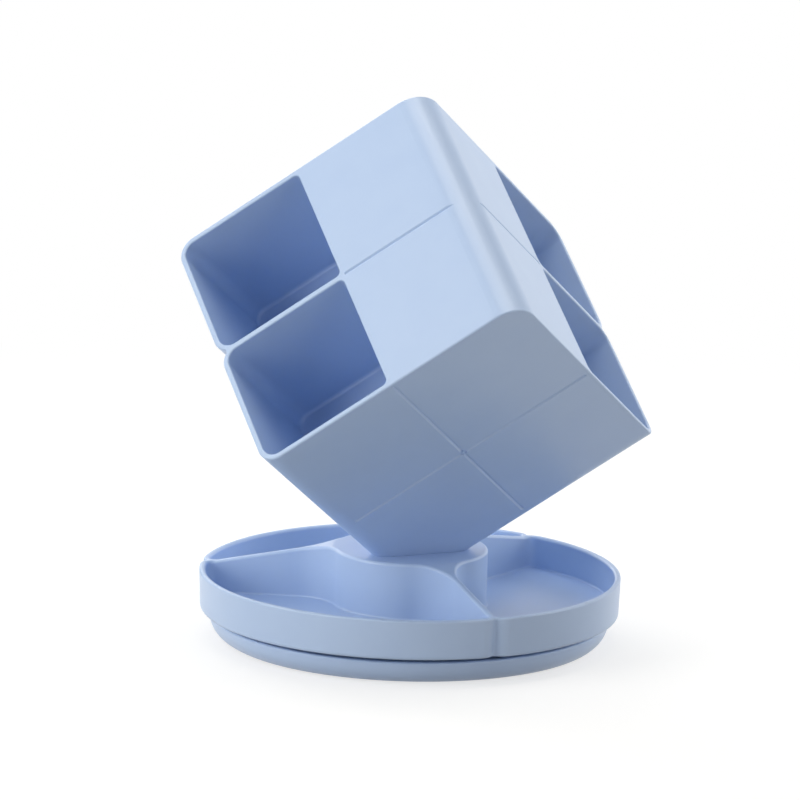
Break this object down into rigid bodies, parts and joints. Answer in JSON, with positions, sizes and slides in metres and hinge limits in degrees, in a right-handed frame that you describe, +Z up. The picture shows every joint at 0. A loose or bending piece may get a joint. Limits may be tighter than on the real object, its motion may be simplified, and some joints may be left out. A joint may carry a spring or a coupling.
{
  "type": "rotating pen holder",
  "caption": "Cube of square pen pockets balanced on one corner over a round divided tray that turns on a low saucer base.",
  "frame": {"origin": "on the desk, under the turning axis", "axes": "+Z up along the turning axis, -Y towards the cube's front spine"},
  "size_m": [0.15, 0.1674, 0.1939],
  "materials": {
    "blue_plastic": "fine satin moulded light blue",
    "bearing_plastic": "natural nylon",
    "ball_steel": "polished",
    "fastener_steel": "zinc plated",
    "pad_rubber": "translucent grey soft pad"
  },
  "bodies": {
    "base": {"base_plate": "blue_plastic", "pivot_bush": "bearing_plastic", "foot_pad_1": "pad_rubber", "foot_pad_2": "pad_rubber", "foot_pad_3": "pad_rubber", "foot_pad_4": "pad_rubber"},
    "cage": {"ball_cage": "bearing_plastic", "bearing_ball_01": "ball_steel", "bearing_ball_02": "ball_steel", "bearing_ball_03": "ball_steel", "bearing_ball_04": "ball_steel", "bearing_ball_05": "ball_steel", "bearing_ball_06": "ball_steel", "bearing_ball_07": "ball_steel", "bearing_ball_08": "ball_steel", "bearing_ball_09": "ball_steel", "bearing_ball_10": "ball_steel", "bearing_ball_11": "ball_steel", "bearing_ball_12": "ball_steel"},
    "turntable": {"tray": "blue_plastic", "cube_body": "blue_plastic", "pivot_washer": "fastener_steel", "pivot_screw": "fastener_steel", "cube_screw_1": "fastener_steel", "cube_screw_2": "fastener_steel", "cube_screw_3": "fastener_steel"}
  },
  "joints": [
    {"name": "turntable_spin", "type": "hinge", "parent": "base", "child": "turntable", "pos_m": [0, 0, 0], "axis": [0, 0, 1], "continuous": true},
    {"name": "cage_spin", "type": "hinge", "parent": "base", "child": "cage", "pos_m": [0, 0, 0], "axis": [0, 0, 1], "continuous": true}
  ],
  "couplings": [
    {"joint": "cage_spin", "follows": "turntable_spin", "ratio": 0.5}
  ]
}
